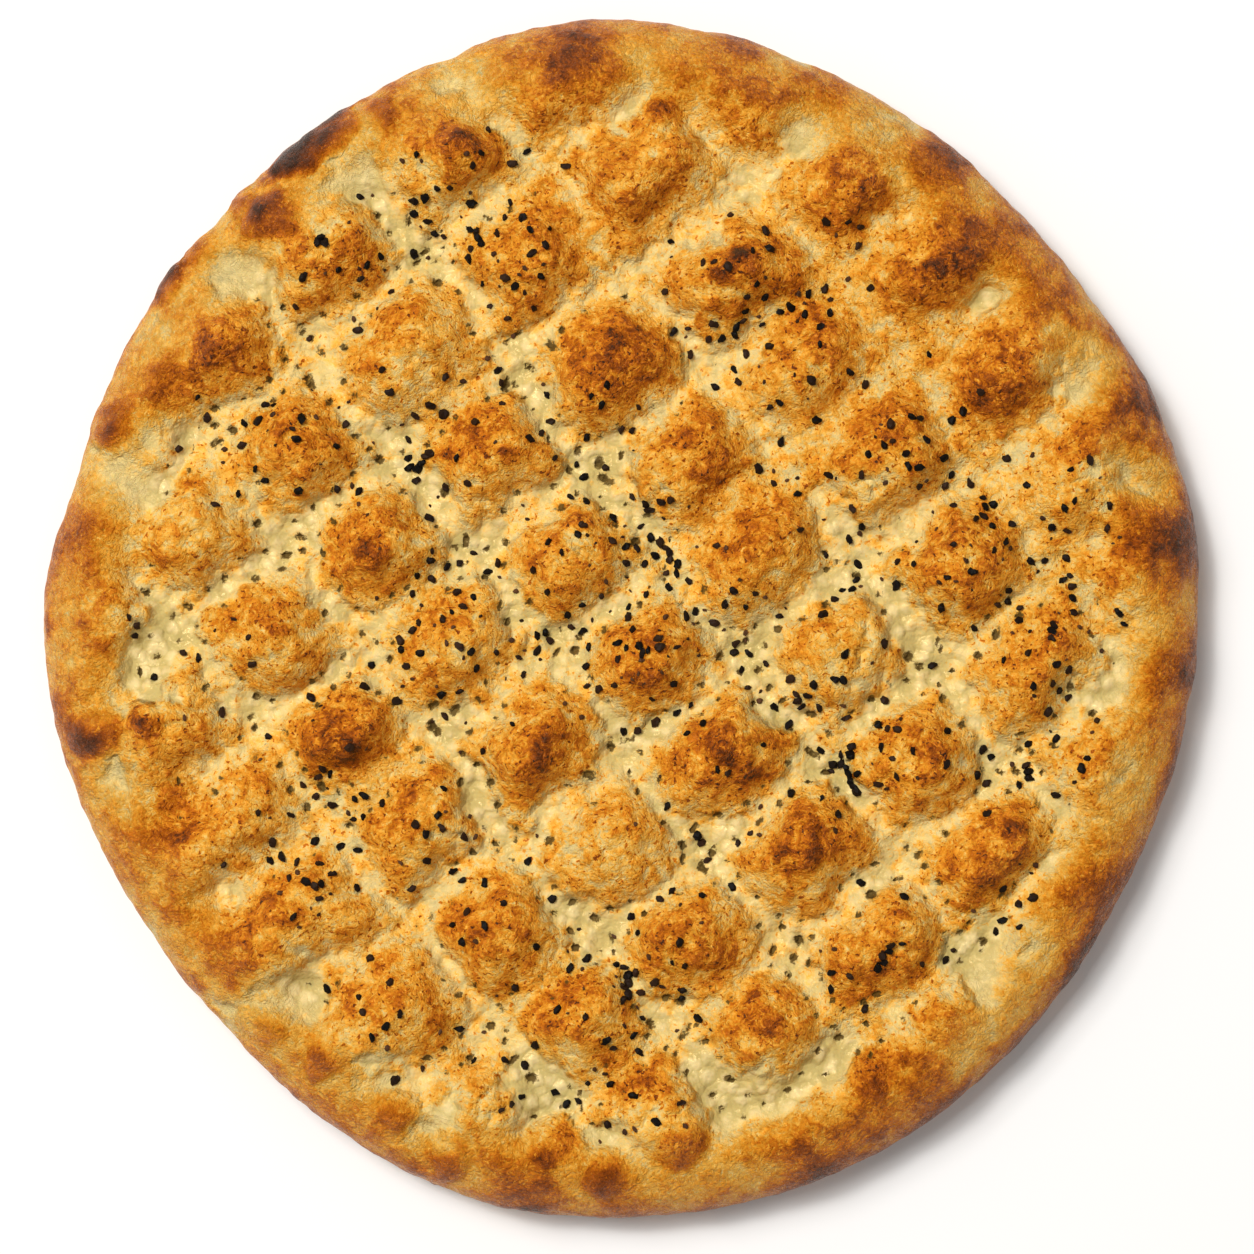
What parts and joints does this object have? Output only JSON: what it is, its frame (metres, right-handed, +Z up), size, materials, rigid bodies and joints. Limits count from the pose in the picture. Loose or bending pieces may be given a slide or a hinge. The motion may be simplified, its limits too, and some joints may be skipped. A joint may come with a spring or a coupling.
{
  "type": "pita bread",
  "caption": "Round hand-pressed flatbread, browned in a quilted lattice of soft pillows inside a smooth rim and strewn with black nigella seeds, to tear and share.",
  "frame": {"origin": "on the flat underside, under the middle of the loaf's outline", "axes": "+Z up through the loaf's thickness, +X and +Y across it; the finger-pressed rows run 38.5 degrees anticlockwise from +X"},
  "size_m": [0.2746, 0.2846, 0.0314],
  "materials": {
    "crust": "matte golden to dark brown baked crust over paler pressed grooves",
    "seed_husk": "matte black"
  },
  "bodies": {
    "root": {"pressed_loaf": "crust", "nigella_seed_01": "seed_husk", "nigella_seed_02": "seed_husk", "nigella_seed_03": "seed_husk", "nigella_seed_04": "seed_husk", "nigella_seed_05": "seed_husk", "nigella_seed_06": "seed_husk", "nigella_seed_07": "seed_husk", "nigella_seed_08": "seed_husk", "nigella_seed_09": "seed_husk", "nigella_seed_10": "seed_husk", "nigella_seed_11": "seed_husk", "nigella_seed_12": "seed_husk", "nigella_seed_13": "seed_husk", "nigella_seed_14": "seed_husk", "nigella_seed_15": "seed_husk", "nigella_seed_16": "seed_husk", "nigella_seed_17": "seed_husk", "nigella_seed_18": "seed_husk", "nigella_seed_19": "seed_husk", "nigella_seed_20": "seed_husk", "nigella_seed_21": "seed_husk", "nigella_seed_22": "seed_husk", "nigella_seed_23": "seed_husk", "nigella_seed_24": "seed_husk", "nigella_seed_25": "seed_husk", "nigella_seed_26": "seed_husk", "nigella_seed_27": "seed_husk", "nigella_seed_28": "seed_husk", "nigella_seed_29": "seed_husk", "nigella_seed_30": "seed_husk", "nigella_seed_31": "seed_husk", "nigella_seed_32": "seed_husk", "nigella_seed_33": "seed_husk", "nigella_seed_34": "seed_husk", "nigella_seed_35": "seed_husk", "nigella_seed_36": "seed_husk", "nigella_seed_37": "seed_husk", "nigella_seed_38": "seed_husk", "nigella_seed_39": "seed_husk", "nigella_seed_40": "seed_husk", "nigella_seed_41": "seed_husk", "nigella_seed_42": "seed_husk", "nigella_seed_43": "seed_husk", "nigella_seed_44": "seed_husk", "nigella_seed_45": "seed_husk", "nigella_seed_46": "seed_husk", "nigella_seed_47": "seed_husk", "nigella_seed_48": "seed_husk", "nigella_seed_49": "seed_husk", "nigella_seed_50": "seed_husk", "nigella_seed_51": "seed_husk", "nigella_seed_52": "seed_husk", "nigella_seed_53": "seed_husk", "nigella_seed_54": "seed_husk", "nigella_seed_55": "seed_husk", "nigella_seed_56": "seed_husk", "nigella_seed_57": "seed_husk", "nigella_seed_58": "seed_husk", "nigella_seed_59": "seed_husk"}
  },
  "joints": []
}
